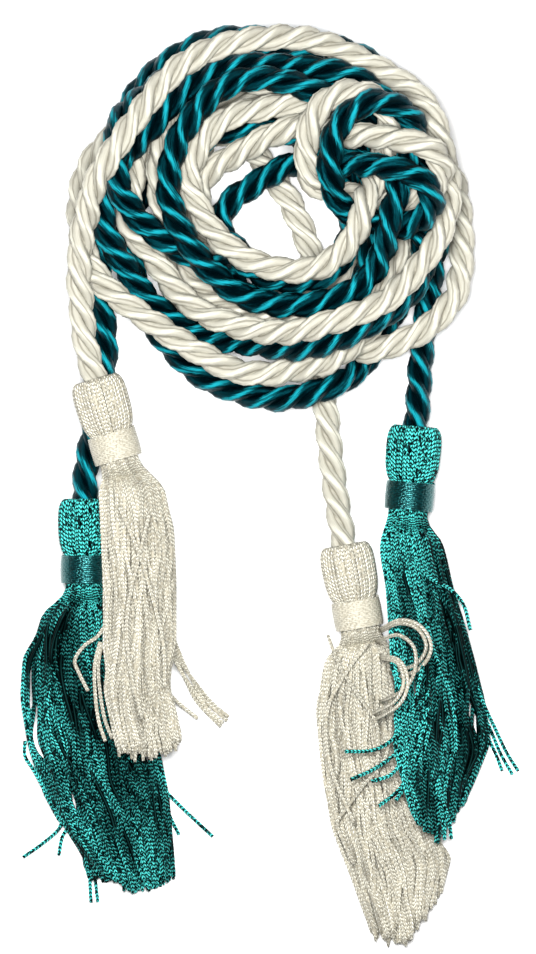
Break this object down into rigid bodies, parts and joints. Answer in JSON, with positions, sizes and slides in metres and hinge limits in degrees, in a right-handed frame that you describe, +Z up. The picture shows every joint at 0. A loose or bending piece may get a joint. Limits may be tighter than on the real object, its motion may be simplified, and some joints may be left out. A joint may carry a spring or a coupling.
{
  "type": "double honor cord",
  "caption": "Two twisted satin ropes, one ivory and one teal, tied together in a knot near their middle and laid in a loose coil, with a string tassel on each rope end.",
  "frame": {"origin": "middle of the footprint of the whole cord, on the surface that it lies on", "axes": "+Z up from the surface; +Y from the tassels towards the far side of the coil; +X to the right as the cord is seen from above with the tassels nearest"},
  "size_m": [0.1253, 0.2422, 0.0401],
  "materials": {
    "ivory_rope": "satin twisted rayon rope",
    "teal_rope": "satin twisted rayon rope",
    "ivory_tassel": "knitted string tassel",
    "teal_tassel": "knitted string tassel",
    "ivory_wrap": "wound satin thread",
    "teal_wrap": "wound satin thread"
  },
  "bodies": {
    "root": {"white_cord": "ivory_rope", "teal_cord": "teal_rope", "white_tassel_left": "ivory_tassel", "white_neck_wrap_left": "ivory_wrap", "teal_tassel_left": "teal_tassel", "teal_neck_wrap_left": "teal_wrap", "teal_tassel_right": "teal_tassel", "teal_neck_wrap_right": "teal_wrap", "white_tassel_right": "ivory_tassel", "white_neck_wrap_right": "ivory_wrap"}
  },
  "joints": []
}
